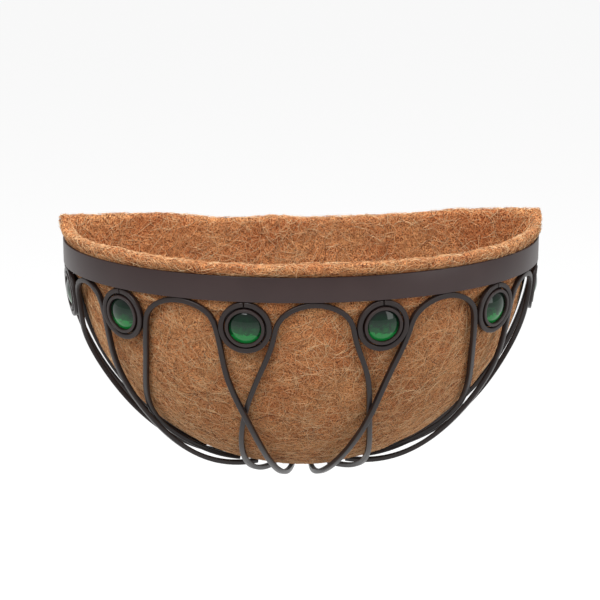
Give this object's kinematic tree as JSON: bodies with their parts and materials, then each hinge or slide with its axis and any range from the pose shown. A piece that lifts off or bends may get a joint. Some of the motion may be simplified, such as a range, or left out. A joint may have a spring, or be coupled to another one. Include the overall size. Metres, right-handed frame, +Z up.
{
  "type": "wall planter",
  "caption": "Half-round wall basket planter: flat rim band, looped square-rod wires, domed glass medallions in rod rings and a lift-out coir liner.",
  "frame": {"origin": "on the wall face of the back bar, midway between its two screw holes", "axes": "+X along the wall to the viewer's right, -Y away from the wall, +Z up"},
  "size_m": [0.508, 0.2032, 0.2827],
  "materials": {
    "band": "satin powder coat, dark bronze",
    "rod": "satin powder coat, dark bronze",
    "bezel": "satin powder coat, dark bronze",
    "glass": "deep green, glossy",
    "coir": "pressed coconut fibre"
  },
  "bodies": {
    "basket_frame": {"back_bar": "band", "back_hoop": "rod", "centre_loop_wire": "rod", "left_end_bezel_cup": "bezel", "left_end_glass_gem": "glass", "left_end_leg": "rod", "left_end_loop_wire": "rod", "left_end_medallion_ring": "rod", "left_inner_bezel_cup": "bezel", "left_inner_glass_gem": "glass", "left_inner_medallion_ring": "rod", "left_loop_wire": "rod", "left_outer_bezel_cup": "bezel", "left_outer_glass_gem": "glass", "left_outer_medallion_ring": "rod", "right_end_bezel_cup": "bezel", "right_end_glass_gem": "glass", "right_end_leg": "rod", "right_end_loop_wire": "rod", "right_end_medallion_ring": "rod", "right_inner_bezel_cup": "bezel", "right_inner_glass_gem": "glass", "right_inner_medallion_ring": "rod", "right_loop_wire": "rod", "right_outer_bezel_cup": "bezel", "right_outer_glass_gem": "glass", "right_outer_medallion_ring": "rod", "rim_band": "band"},
    "liner": {"coir_liner": "coir"}
  },
  "joints": [
    {"name": "liner_lift", "type": "slide", "parent": "basket_frame", "child": "liner", "axis": [0, 0, 1], "range_m": [0, 0.3]}
  ]
}
